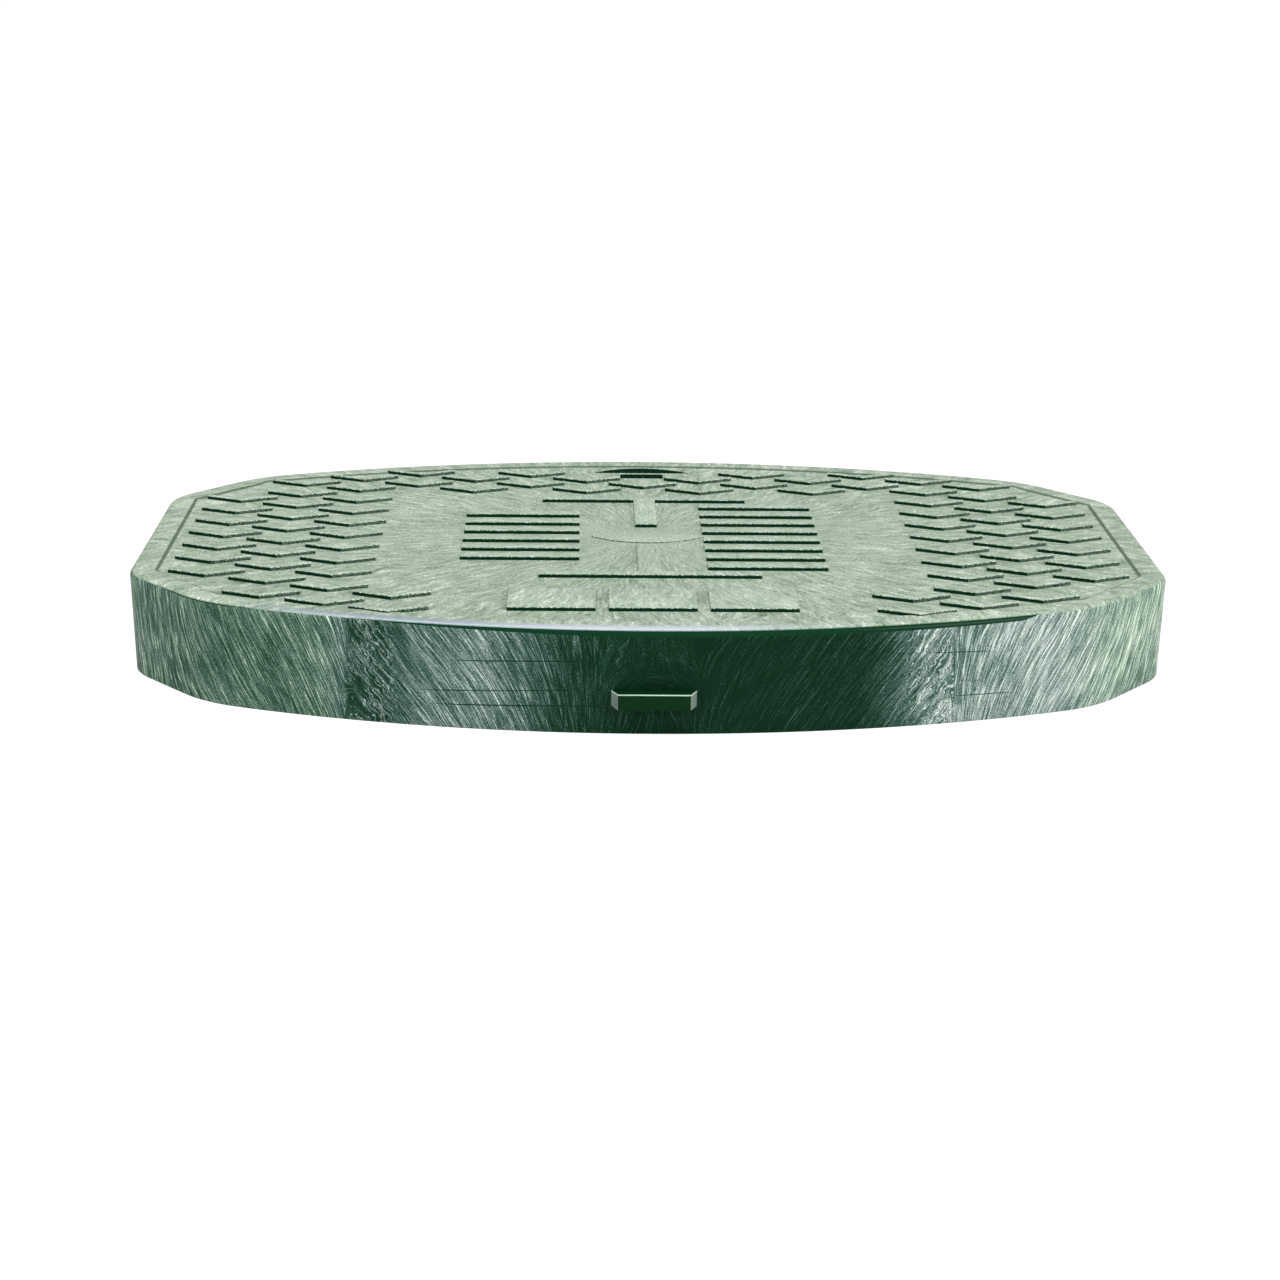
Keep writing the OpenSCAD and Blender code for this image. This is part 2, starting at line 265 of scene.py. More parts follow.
def outline(inset, at_end, at_side):
    """Closed loop of points: the cover's outline drawn in, its corners rounded."""
    seat = CUT_K - inset - at_side
    along = seat + ARC_BACK * CUT_NY
    across = math.sqrt((ARC_R - inset - at_side) ** 2 - along ** 2)
    side = (along * CUT_NX - across * CUT_NY, across * CUT_NX + along * CUT_NY - ARC_BACK)
    end_x = HALF_L - inset - at_end
    end = (end_x, (CUT_K - inset - at_end - CUT_NX * end_x) / CUT_NY)
    side_angle = math.atan2(side[1] + ARC_BACK, side[0])
    quarter = [(HALF_L - inset, end[1] * i / END_FLAT) for i in range(END_FLAT)]
    quarter += fan(end, at_end, 0, CUT_ANGLE, END_ARC)
    quarter += fan(side, at_side, CUT_ANGLE, side_angle, SIDE_ARC)
    quarter += fan((0, -ARC_BACK), ARC_R - inset, side_angle, math.pi / 2, LONG_ARC)[1:]
    upper = quarter + [(-x, y) for x, y in reversed(quarter[:-1])]
    return upper + [(x, -y) for x, y in reversed(upper[1:-1])]


def edge_profile():
    """Inset, corner radii and height of each loop, from the hollow round to the field."""
    slant = math.hypot(BODY_H, DRAFT_IN)
    round_in = EDGE_R * (slant + DRAFT_IN) / BODY_H
    round_z = BODY_H - EDGE_R
    tilt = -math.atan2(DRAFT_IN, BODY_H)
    loops = [(WALL, PLATE_LOW), (WALL, FOOT_SOFT), (WALL - FOOT_SOFT, 0.0),
             (DRAFT_IN + FOOT_SOFT, 0.0), (DRAFT_IN, FOOT_SOFT)]
    for i in range(EDGE_ARC + 1):
        angle = tilt + (math.pi / 2 - tilt) * i / EDGE_ARC
        loops.append((round_in - EDGE_R * math.cos(angle), round_z + EDGE_R * math.sin(angle)))
    rows = [(inset, END_R - inset, SIDE_R - inset, z) for inset, z in loops]
    step = [(-STEP_HALF, BODY_H), (-STEP_CORE, BODY_H - STEP_EASE),
            (STEP_CORE, FIELD_Z + STEP_EASE), (STEP_HALF, FIELD_Z)]
    return rows + [(LIP_W + inset, LIP_END_R, LIP_SIDE_R, z) for inset, z in step]


# Meshes and objects

def new_object(name, data):
    """Object in the scene that holds a mesh, a lamp or a camera."""
    obj = bpy.data.objects.new(name, data)
    bpy.context.scene.collection.objects.link(obj)
    return obj


def mesh_from(name, points, faces, edges=()):
    """Mesh from points in millimetres."""
    mesh = bpy.data.meshes.new(name)
    mesh.from_pydata([tuple(c * MM for c in p) for p in points], list(edges), faces)
    mesh.update()
    return mesh


def outward(mesh):
    """The same mesh with its faces pointing outwards."""
    bm = bmesh.new()
    bm.from_mesh(mesh)
    bmesh.ops.recalc_face_normals(bm, faces=bm.faces)
    bm.to_mesh(mesh)
    bm.free()
    return mesh


def prism(name, footprint, low, high):
    """Upright solid over a closed footprint."""
    n = len(footprint)
    points = [(x, y, low) for x, y in footprint] + [(x, y, high) for x, y in footprint]
    faces = [list(range(n))[::-1], list(range(n, 2 * n))]
    faces += [[i, (i + 1) % n, n + (i + 1) % n, n + i] for i in range(n)]
    return outward(mesh_from(name, points, faces))


def footprints_mesh(name, shapes):
    """Flat faces that lie on the field."""
    points, faces = [], []
    for shape in shapes:
        faces.append([len(points) + i for i in range(len(shape))])
        points += [(x, y, FIELD_Z) for x, y in shape]
    return mesh_from(name, points, faces)


def bevel(obj, width, segments=2, angle=35):
    """Soften the edges that turn by more than an angle in degrees."""
    mod = obj.modifiers.new("bevel", "BEVEL")
    mod.width = width * MM
    mod.segments = segments
    mod.limit_method = "ANGLE"
    mod.angle_limit = math.radians(angle)


def applied(obj, smooth_angle=40):
    """Turn the object's modifiers into a plain mesh with smooth shading."""
    depsgraph = bpy.context.evaluated_depsgraph_get()
    mesh = bpy.data.meshes.new_from_object(obj.evaluated_get(depsgraph))
    obj.modifiers.clear()
    obj.data = mesh
    mesh.name = obj.name
    for face in mesh.polygons:
        face.use_smooth = True
    mesh.set_sharp_from_angle(angle=math.radians(smooth_angle))


def finish_piece(obj, material):
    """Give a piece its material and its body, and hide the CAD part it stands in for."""
    obj.data.materials.clear()
    obj.data.materials.append(material)
    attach(obj, "root")
    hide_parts("cover")


# Nodes

class Nodes:
    """Short way to place nodes in a tree and join their sockets."""

    def __init__(self, tree):
        self.tree = tree

    def add(self, kind, **settings):
        node = self.tree.nodes.new(kind)
        for key, value in settings.items():
            setattr(node, key, value)
        return node

    def join(self, value, socket):
        """Link a socket, or set a plain value."""
        if isinstance(value, bpy.types.NodeSocket):
            self.tree.links.new(value, socket)
        elif value is not None:
            socket.default_value = value

    def join_all(self, values, sockets):
        for value, socket in zip(values, sockets):
            self.join(value, socket)

    def math(self, operation, a, b=None, clamp=False):
        node = self.add("ShaderNodeMath", operation=operation, use_clamp=clamp)
        self.join_all((a, b), node.inputs)
        return node.outputs[0]

    def product(self, first, *others):
        """Values multiplied together."""
        for other in others:
            first = self.math("MULTIPLY", first, other)
        return first

    def scaled(self, value, by, plus):
        """A value multiplied, and a number added to it."""
        return self.math("ADD", self.math("MULTIPLY", value, by), plus)

    def swing(self, value, weight):
        """How far a value of 0 to 1 lies from its middle, times a weight."""
        return self.math("MULTIPLY", self.math("SUBTRACT", value, 0.5), weight)

    def opposite(self, value):
        return self.math("SUBTRACT", 1.0, value)

    def length(self, x, y):
        """Length of a flat vector."""
        squares = self.math("ADD", self.math("MULTIPLY", x, x), self.math("MULTIPLY", y, y))
        return self.math("SQRT", squares)

    def combine(self, x, y, z):
        node = self.add("ShaderNodeCombineXYZ")
        self.join_all((x, y, z), node.inputs)
        return node.outputs[0]

    def separate(self, vector):
        node = self.add("ShaderNodeSeparateXYZ")
        self.join(vector, node.inputs[0])
        return node.outputs

    def noise(self, vector, scale=1.0, detail=2.0, rough=0.5):
        node = self.add("ShaderNodeTexNoise")
        self.join(vector, node.inputs["Vector"])
        for name, value in (("Scale", scale), ("Detail", detail), ("Roughness", rough)):
            node.inputs[name].default_value = value
        return node.outputs[0]

    def ramp(self, value, zero_at, one_at):
        """Soft step of a value from 0 at one place to 1 at another."""
        node = self.add("ShaderNodeMapRange", interpolation_type="SMOOTHSTEP")
        self.join_all((value, zero_at, one_at), node.inputs)
        return node.outputs[0]

    def window(self, value, rise, fall):
        """1 between two soft steps, and 0 outside them."""
        return self.math("MULTIPLY", self.ramp(value, *rise), self.ramp(value, *fall))

    def ridge(self, value, width):
        """Thin bright line wherever a noise value crosses its middle."""
        return self.ramp(self.math("ABSOLUTE", self.math("SUBTRACT", value, 0.5)), width, 0.0)

    def curve(self, value, points):
        """Value looked up on a curve of (0..1, 0..1) points, its two ends first."""
        node = self.add("ShaderNodeFloatCurve")
        line = node.mapping.curves[0]
        line.points[0].location, line.points[1].location = points[:2]
        for x, y in points[2:]:
            line.points.new(x, y)
        for point in line.points:
            point.handle_type = "VECTOR"
        node.mapping.update()
        self.join(value, node.inputs["Value"])
        return node.outputs[0]

    def mix(self, factor, a, b):
        """Mix two numbers."""
        node = self.add("ShaderNodeMix", data_type="FLOAT")
        self.join_all((factor, a, b), (node.inputs[0], node.inputs[2], node.inputs[3]))
        return node.outputs[0]

    def mix_color(self, factor, a, b, blend="MIX"):
        """Mix two colours, each a socket or red, green and blue."""
        node = self.add("ShaderNodeMix", data_type="RGBA", blend_type=blend)
        values = [v + (1.0,) if isinstance(v, tuple) else v for v in (factor, a, b)]
        self.join_all(values, (node.inputs[0], node.inputs[6], node.inputs[7]))
        return node.outputs[2]

    def color_by_value(self, value, stops):
        """Colour looked up on a ramp of positions and colours."""
        node = self.add("ShaderNodeValToRGB")
        elements = node.color_ramp.elements
        while len(elements) < len(stops):
            elements.new(1.0)
        for element, (position, color) in zip(elements, stops):
            element.position = position
            element.color = color + (1.0,)
        self.join(value, node.inputs[0])
        return node.outputs[0]


# Shader groups

def shader_group(name, inputs, outputs):
    """Empty group with its sockets: inputs are label, kind and start value."""
    tree = bpy.data.node_groups.new(name, "ShaderNodeTree")
    for label, kind, default in inputs:
        socket = tree.interface.new_socket(label, in_out="INPUT", socket_type=kind)
        if default is not None:
            socket.default_value = default
    for label in outputs:
        tree.interface.new_socket(label, in_out="OUTPUT", socket_type="NodeSocketFloat")
    source = tree.nodes.new("NodeGroupInput")
    target = tree.nodes.new("NodeGroupOutput")
    return tree, Nodes(tree), source.outputs, target.inputs


def group_node(n, group, **values):
    """Place a group; an underscore in a value's name stands for a space."""
    node = n.add("ShaderNodeGroup", node_tree=group)
    for label, value in values.items():
        n.join(value, node.inputs[label.replace("_", " ")])
    return node.outputs


def hair_streaks_group():
    """Hair-fine streaks that the plastic leaves where it flowed; lengths in millimetres."""
    tree, n, given, out = shader_group(
        "hair_streaks",
        [("Across", "NodeSocketFloat", 0.0), ("Along", "NodeSocketFloat", 0.0),
         ("Layer", "NodeSocketFloat", 0.0), ("Waviness", "NodeSocketFloat", 1.0),
         ("Sway", "NodeSocketFloat", 0.05)],
        ["Tone", "Hairs"])

    def flow(across, dense, stretch, layer, **texture):
        """Noise that is dense across the flow and drawn out along it."""
        vector = n.combine(n.math("MULTIPLY", across, dense),
                           n.math("MULTIPLY", given["Along"], stretch),
                           n.math("ADD", given["Layer"], layer))
        return n.noise(vector, **texture)

    sway = n.noise(n.combine(n.math("MULTIPLY", given["Across"], given["Sway"]),
                             n.math("MULTIPLY", given["Along"], given["Sway"]),
                             given["Layer"]))
    across = n.math("ADD", given["Across"], n.swing(sway, given["Waviness"]))
    tone = flow(across, dense=2.0, stretch=0.06, layer=2.0, detail=1.0, rough=0.9)
    lines = n.ridge(flow(across, dense=1.3, stretch=0.04, layer=4.0, detail=0.0), width=0.11)
    fine = n.ridge(flow(across, dense=2.6, stretch=0.08, layer=6.0, detail=0.0), width=0.20)
    dashes = n.ramp(flow(across, dense=2.0, stretch=0.10, layer=8.0, detail=1.0),
                    zero_at=0.38, one_at=0.58)
    fine_share = 0.65
    strongest = n.math("MAXIMUM", lines, n.math("MULTIPLY", fine, fine_share))
    n.join(tone, out["Tone"])
    n.join(n.math("MULTIPLY", strongest, dashes), out["Hairs"])
    return tree


def skin_grain_group():
    """Grain of the moulded skin, its size in millimetres, and soft clouds for colour."""
    tree, n, given, out = shader_group(
        "skin_grain",
        [("Vector", "NodeSocketVector", None), ("Grain size", "NodeSocketFloat", 0.6)],
        ["Height", "Clouds"])
    fine = n.add("ShaderNodeVectorMath", operation="SCALE")
    n.join(given["Vector"], fine.inputs[0])
    n.join(n.math("DIVIDE", TO_MM, given["Grain size"]), fine.inputs["Scale"])
    n.join(n.noise(fine.outputs[0], detail=3.0, rough=0.6), out["Height"])
    n.join(n.noise(given["Vector"], scale=30.0, detail=3.0), out["Clouds"])
    return tree


def top_flow_group():
    """Colour value of the top: streaks that run out from the gate in its middle."""
    tree, n, given, out = shader_group(
        "top_flow", [("Vector", "NodeSocketVector", None)], ["Value"])
    gate_r, sway_scale, sway_share = 6 * MM, 22.0, 0.20
    x, y, _ = n.separate(given["Vector"])
    flat = n.combine(x, y, 0.0)
    radius = n.math("MAXIMUM", n.length(x, y), gate_r)
    turn_x, turn_y = n.math("DIVIDE", x, radius), n.math("DIVIDE", y, radius)
    bend = n.swing(n.noise(flat, scale=sway_scale), sway_share)
    side_x = n.math("ADD", turn_x, n.math("MULTIPLY", bend, turn_y))
    side_y = n.math("SUBTRACT", turn_y, n.math("MULTIPLY", bend, turn_x))

    def streak(spread, along, seed, detail):
        """Noise that is drawn out along the way from the gate."""
        vector = n.combine(n.math("MULTIPLY", side_x, spread), n.math("MULTIPLY", side_y, spread),
                           n.scaled(radius, by=along, plus=seed))
        return n.noise(vector, detail=detail, rough=0.85)

    tone = streak(spread=44.0, along=90.0, seed=0.0, detail=2.0)
    lines = n.ridge(streak(spread=36.0, along=80.0, seed=5.0, detail=0.0), width=0.08)
    grain = n.noise(flat, scale=900.0, rough=0.7)
    clouds = n.noise(flat, scale=30.0, detail=3.0)
    tone_weight, grain_weight, cloud_weight, line_weight = 1.1, 1.2, 0.25, 0.12
    value = 0.5
    for part, weight in ((tone, tone_weight), (grain, grain_weight), (clouds, cloud_weight)):
        value = n.math("ADD", value, n.swing(part, weight))
    value = n.math("ADD", value, n.math("MULTIPLY", lines, line_weight), clamp=True)
    n.join(value, out["Value"])
    return tree


def inset_group():
    """How far a place on the top lies inside the cover's outline, in millimetres."""
    tree, n, given, out = shader_group(
        "inset", [("Vector", "NodeSocketVector", None)], ["Inset"])
    x, y, _ = n.separate(given["Vector"])
    x = n.math("MULTIPLY", n.math("ABSOLUTE", x), TO_MM)
    y = n.math("MULTIPLY", n.math("ABSOLUTE", y), TO_MM)
    from_side = n.math("SUBTRACT", ARC_R, n.length(x, n.math("ADD", y, ARC_BACK)))
    toward_cut = n.math("ADD", n.math("MULTIPLY", x, CUT_NX), n.math("MULTIPLY", y, CUT_NY))
    from_cut = n.math("SUBTRACT", CUT_K, toward_cut)
    from_end = n.math("SUBTRACT", HALF_L, x)
    nearest = n.math("MINIMUM", from_side, n.math("MINIMUM", from_cut, from_end))
    n.join(nearest, out["Inset"])
    return tree


# Materials

def empty_material(name):
    """New material without nodes, and the way to place them."""
    material = bpy.data.materials.new(name)
    material.use_nodes = True
    material.node_tree.nodes.clear()
    return material, Nodes(material.node_tree)


def surface(n):
    """Place on the piece, and the parts of the direction in which its face looks."""
    place = n.add("ShaderNodeTexCoord").outputs["Object"]
    normal = n.separate(n.add("ShaderNodeNewGeometry").outputs["True Normal"])
    return place, normal


def finish_shader(n, color, rough, height, strength, coat=0.0):
    """Plastic with a bump, and a coat where it is polished."""
    bump_depth, coat_rough, specular = 0.3 * MM, 0.12, 0.05
    bump = n.add("ShaderNodeBump")
    bump.inputs["Strength"].default_value = strength
    bump.inputs["Distance"].default_value = bump_depth
    n.join(height, bump.inputs["Height"])
    shader = n.add("ShaderNodeBsdfPrincipled")
    n.join(color, shader.inputs["Base Color"])
    n.join(rough, shader.inputs["Roughness"])
    n.join(bump.outputs[0], shader.inputs["Normal"])
    n.join(coat, shader.inputs["Coat Weight"])
    shader.inputs["Coat Roughness"].default_value = coat_rough
    shader.inputs["Specular IOR Level"].default_value = specular
    n.join(shader.outputs[0], n.add("ShaderNodeOutputMaterial").inputs["Surface"])


def top_look(n, groups, place):
    """Value and colour of the faces that look up, pale partly from painted sheen of the overhead
    lamp.
    """
    value = group_node(n, groups["top"], Vector=place)["Value"]
    return value, n.color_by_value(value, TOP_COLORS)


def along_skirt(n, x, y, on_end):
    """Distance along the skirt and a number that keeps the streaks of its walls apart.

    On the long sides the distance counts from the middle, positive to the right seen from
    outside, and on the flat ends it carries on from the front. The number is below zero on
    the front only.
    """
    end_shift, end_layer, layer_gap = 0.25, 4.0, 3.7
    back_sign, end_sign = n.math("SIGN", y), n.math("SIGN", x)
    end_run = n.math("MULTIPLY", n.math("ADD", y, end_shift), end_sign)
    run = n.mix(on_end, n.product(x, back_sign, -1.0), end_run)
    wall = n.mix(on_end, back_sign, n.math("ADD", end_sign, end_layer))
    return run, n.math("MULTIPLY", wall, layer_gap)


def flow_streaks(n, groups, place, run, z, layer, at_front):
    """Tone and fine hairs of the skirt's streaks, and where its skin is curled."""
    lean = n.swing(n.curve(place, LEAN), weight=2.0)
    tilt = n.math("MULTIPLY", lean, n.math("SUBTRACT", z, LEAN_Z))
    across = n.math("MULTIPLY", n.math("SUBTRACT", run, tilt), TO_MM)
    along = n.math("MULTIPLY", z, TO_MM)
    plain = group_node(n, groups["hair"], Across=across, Along=along, Layer=layer, Waviness=2.0)

    # Arches where the flow went over the tab.
    arch_share = 0.7
    radius = n.length(run, n.math("SUBTRACT", z, ARCH_Z))
    on_arch = n.product(n.ramp(radius, *ARCH_REACH), n.ramp(z, *ARCH_START_Z), at_front)
    arches = group_node(n, groups["hair"], Across=n.math("MULTIPLY", radius, TO_MM),
                        Along=across, Layer=layer, Waviness=5.0)
    tone = n.mix(on_arch, plain["Tone"], arches["Tone"])
    hairs = n.mix(on_arch, plain["Hairs"], n.math("MULTIPLY", arches["Hairs"], arch_share))

    # Curled skin where two flows met, and its light flecks above the tab.
    curl_layer, fleck_share = 20.0, 0.8
    curls = group_node(n, groups["hair"], Across=across, Along=along,
                       Layer=n.math("ADD", layer, curl_layer), Waviness=4.5, Sway=0.42)
    curled = n.math("MAXIMUM", n.window(place, *LEFT_CURLS), n.window(place, *RIGHT_CURLS))
    above_tab = n.product(n.window(place, *TAB_SPAN), n.ramp(z, *OVER_TAB_Z), at_front)
    tone = n.mix(curled, tone, curls["Tone"])
    hairs = n.mix(curled, hairs, curls["Hairs"])
    hairs = n.mix(n.math("MULTIPLY", above_tab, fleck_share), hairs, curls["Hairs"])
    return tone, hairs, curled


def mould_lines(n, run, z):
    """Mask of the thin lines that the mould's inserts and welds leave on the front."""
    mask = 0.0
    for along_run, start, stop, place, slope, strength in MOULD_LINES:
        walk, spot = (run, z) if along_run else (z, run)
        rise = n.math("MULTIPLY", n.math("SUBTRACT", walk, start * MM), slope)
        off_line = n.math("SUBTRACT", spot, n.math("ADD", place * MM, rise))
        line = n.ramp(n.math("ABSOLUTE", off_line), LINE_SIDE * MM, LINE_CORE * MM)
        full = start + LINE_FADE * (stop - start)
        inside = n.window(walk, rise=(start * MM, full * MM),
                          fall=(stop * MM, (stop - LINE_STOP) * MM))
        mask = n.math("MAXIMUM", mask, n.product(line, inside, strength))
    return mask


def skirt_value(n, groups, grain, place, run, z, layer):
    """Colour value of the skirt at a distance along it and a height, with its painted sheen, and its
    fine hairs.
    """
    at_front = n.math("LESS_THAN", layer, 0.0)
    tone, hairs, curled = flow_streaks(n, groups, place, run, z, layer, at_front)
    # The curve here paints the sheen of the lamps at left and right into the skirt, low in the
    # middle where a dark reflection is painted; streaks and hairs show stronger where the painted
    # sheen is high.
    silver_sheen = n.curve(place, SILVER_SHEEN)
    cloud_weight, grain_weight = 0.28, 1.0
    tone_weight = n.scaled(silver_sheen, by=0.7, plus=0.30)
    value = silver_sheen
    for part, weight in ((tone, tone_weight), (grain["Clouds"], cloud_weight),
                         (grain["Height"], grain_weight)):
        value = n.math("ADD", value, n.swing(part, weight))
    hair_weight = n.scaled(silver_sheen, by=0.26, plus=n.scaled(curled, by=0.30, plus=0.32))
    darker = n.scaled(curled, by=0.05, plus=0.105)
    value = n.math("ADD", n.math("SUBTRACT", value, darker),
                   n.math("MULTIPLY", hairs, hair_weight), clamp=True)
    lines = n.math("MULTIPLY", mould_lines(n, run, z), at_front)
    return n.math("MULTIPLY", value, n.opposite(lines)), hairs


def front_edge_highlight(n, color, place, inset, z, up, on_front):
    """Painted silver highlight where the front edge turns down, over a smooth band with painted dark
    reflection.

    up is the upward part of the normal. The two masks are given back with the colour.
    """
    has_band, below_line, on_line, turned_up = (0.02, 0.10), (0.78, 0.70), (0.70, 0.78), (0.72, 0.95)
    line_share = 0.9
    at_edge = n.math("MULTIPLY", on_front, n.ramp(inset, *EDGE_ZONE))
    depth = n.curve(place, BAND)
    low = n.math("SUBTRACT", BAND_TOP, n.math("MULTIPLY", depth, BAND_DEPTH))
    in_band = n.product(n.ramp(n.math("SUBTRACT", z, low), *BAND_EDGE),
                        n.ramp(depth, *has_band), n.ramp(up, *below_line), at_edge)
    # Painted dark reflection on the smooth band under the edge.
    color = n.mix_color(in_band, color, BAND_DARK_REFLECTION)
    shine = n.product(n.curve(place, SHINE), n.ramp(up, *on_line), at_edge)
    bright = n.mix_color(n.ramp(place, *FULL_EDGE_HIGHLIGHT), DULL_EDGE_HIGHLIGHT, SILVER_EDGE_HIGHLIGHT)
    silver_sheen = n.mix_color(n.ramp(up, *turned_up), LOW_EDGE_HIGHLIGHT, bright)
    color = n.mix_color(n.math("MULTIPLY", shine, line_share), color, silver_sheen)
    return color, in_band, shine


def shell_plastic(groups):
    """Dark green plastic, pale and streaked on top, with flow streaks down the skirt; the top's
    paleness is partly the plastic's own and partly painted sheen of the overhead lamp, and the skirt
    carries painted sheen of the side lamps.
    """
    material, n = empty_material("shell_plastic")
    place, normal = surface(n)
    x, y, z = n.separate(place)
    facing_up = n.ramp(normal[2], zero_at=0.62, one_at=0.76)
    end_way = n.math("SUBTRACT", n.math("ABSOLUTE", normal[0]), n.math("ABSOLUTE", normal[1]))
    on_end = n.ramp(end_way, zero_at=0.35, one_at=0.55)
    grain = group_node(n, groups["grain"], Vector=place, Grain_size=0.5)
    inset = group_node(n, groups["inset"], Vector=place)["Inset"]

    run, layer = along_skirt(n, x, y, on_end)
    on_curves = n.scaled(run, by=1 / SKIRT_SPAN, plus=0.5)
    value, hairs = skirt_value(n, groups, grain, on_curves, run, z, layer)
    warm = n.math("MAXIMUM", n.ramp(on_curves, *WARM_LEFT), n.ramp(on_curves, *WARM_RIGHT))
    side = n.mix_color(warm, n.color_by_value(value, SKIRT_COLORS), WARM_TINT, blend="MULTIPLY")
    top_value, top_color = top_look(n, groups, place)
    # Faces that look up take the pale top colours, partly painted sheen of the overhead lamp.
    color = n.mix_color(facing_up, side, top_color)

    # Painted shade on the step between rim and field.
    step_shade_share = 0.85
    step_shade_mask = n.math("MULTIPLY", n.window(inset, *STEP_SHADE), step_shade_share)
    color = n.mix_color(step_shade_mask, color, STEP_PAINTED_SHADE)

    on_front = n.math("MULTIPLY", n.math("LESS_THAN", y, 0.0), n.opposite(on_end))
    # Painted highlight on the front edge, and painted dark reflection on the smooth band below it.
    color, in_band, shine = front_edge_highlight(n, color, on_curves, inset, z, normal[2], on_front)
    smooth = n.math("MAXIMUM", in_band, shine)

    streak_height, grain_height = 0.6, 0.4
    side_rough, top_rough, smooth_rough = 0.42, 0.52, 0.16
    height = n.scaled(n.mix(facing_up, hairs, top_value), by=streak_height,
                      plus=n.math("MULTIPLY", grain["Height"], grain_height))
    height = n.math("MULTIPLY", height, n.opposite(smooth))
    rough = n.mix(smooth, n.mix(facing_up, side_rough, top_rough), smooth_rough)
    finish_shader(n, color, rough, height, strength=0.5, coat=shine)
    return material


def raised_plastic(groups):
    """The same plastic on raised shapes: dark sides with painted light flecks and ends painted pale
    as if lit, and frosted top edges flecked with painted highlight.
    """
    material, n = empty_material("raised_plastic")
    place, normal = surface(n)
    facing_up = n.ramp(normal[2], zero_at=0.93, one_at=0.99)
    rounded = n.ramp(normal[2], zero_at=0.15, one_at=0.30)
    on_edge = n.math("MULTIPLY", rounded, n.opposite(facing_up))
    grain = group_node(n, groups["grain"], Vector=place, Grain_size=0.55)
    top_value, top_color = top_look(n, groups, place)

    # Painted light flecks on sides that look right, toward the key lamp, more of them the more they
    # turn that way.
    fleck_share, none_at, all_at = 0.38, (0.50, 0.42), (0.62, 0.54)
    lit_side = n.ramp(normal[0], zero_at=0.05, one_at=0.35)
    flecks = n.ramp(grain["Height"], n.mix(lit_side, *none_at), n.mix(lit_side, *all_at))
    side = n.mix_color(n.product(flecks, lit_side, fleck_share), DARK_SIDE, PAINTED_LIT_FLECK)

    # Ends of the raised shapes are painted as pale as the top, as painted light.
    painted_lit_end = n.ramp(n.math("ABSOLUTE", normal[0]), zero_at=0.80, one_at=0.95)
    side = n.mix_color(painted_lit_end, side, top_color)
    # Top edges are flecked with painted highlight.
    edge = n.mix_color(flecks, EDGE_GREEN, EDGE_HIGHLIGHT_FLECK)
    frost_share = 0.12
    frosted = n.mix_color(frost_share, top_color, FROST)
    color = n.mix_color(on_edge, n.mix_color(facing_up, side, frosted), edge)
    height = n.scaled(top_value, by=0.5, plus=n.math("MULTIPLY", grain["Height"], 0.5))
    side_rough, top_rough = 0.35, 0.52
    finish_shader(n, color, n.mix(facing_up, side_rough, top_rough), height, strength=0.5)
    return material


def tab_plastic(groups):
    """The same plastic on the latch tab: dark and smooth, its bevels and edges painted bright in
    patches as a highlight.
    """
    material, n = empty_material("tab_plastic")
    place, normal = surface(n)
    grain = group_node(n, groups["grain"], Vector=place, Grain_size=0.8)
    bevel_share = 0.42
    on_bevel = n.ramp(n.math("ABSOLUTE", normal[0]), zero_at=0.35, one_at=0.6)
    on_edge = n.window(normal[2], rise=(0.1, 0.3), fall=(0.97, 0.8))
    # Painted highlight on bevels and edges, broken into patches.
    tab_highlight = n.math("MAXIMUM", n.math("MULTIPLY", on_bevel, bevel_share), on_edge)
    patches = n.ramp(grain["Clouds"], zero_at=0.25, one_at=0.55)
    color = n.mix_color(n.math("MULTIPLY", tab_highlight, patches), TAB_GREEN, TAB_HIGHLIGHT_GREEN)
    finish_shader(n, color, rough=0.3, height=grain["Height"], strength=0.2)
    return material


# Geometry trees

def geometry_group(name, geometry_in, lengths, geometry_out):
    """Tree with a mesh going in, lengths in millimetres as named inputs, and a mesh out."""
    tree = bpy.data.node_groups.new(name, "GeometryNodeTree")
    face = tree.interface
    face.new_socket(geometry_in, in_out="INPUT", socket_type="NodeSocketGeometry")
    for label, length in lengths.items():
        socket = face.new_socket(label, in_out="INPUT", socket_type="NodeSocketFloat")
        socket.default_value = length * MM
    face.new_socket(geometry_out, in_out="OUTPUT", socket_type="NodeSocketGeometry")
    return tree, Nodes(tree), tree.nodes.new("NodeGroupInput").outputs


def closed_solid(n, flat, given):
    """Lift flat faces by Sink and Relief, and close what they leave from below."""
    raised = n.add("GeometryNodeExtrudeMesh")
    n.join(flat, raised.inputs["Mesh"])
    n.join(n.math("ADD", given["Relief"], given["Sink"]), raised.inputs["Offset Scale"])
    raised.inputs["Individual"].default_value = False
    underside = n.add("GeometryNodeFlipFaces")
    n.join(flat, underside.inputs["Mesh"])
    closed = n.add("GeometryNodeJoinGeometry")
    n.join(raised.outputs["Mesh"], closed.inputs[0])
    n.join(underside.outputs[0], closed.inputs[0])
    welded = n.add("GeometryNodeMergeByDistance")
    n.join(closed.outputs[0], welded.inputs["Geometry"])
    welded.inputs["Distance"].default_value = WELD_GAP * MM
    return welded.outputs[0]


def hand_out(n, geometry, material):
    """End of a tree: instances made real, and given their material."""
    real = n.add("GeometryNodeRealizeInstances")
    n.join(geometry, real.inputs[0])
    colored = n.add("GeometryNodeSetMaterial")
    n.join(real.outputs[0], colored.inputs["Geometry"])
    colored.inputs["Material"].default_value = material
    n.join(colored.outputs[0], n.add("NodeGroupOutput").inputs[0])


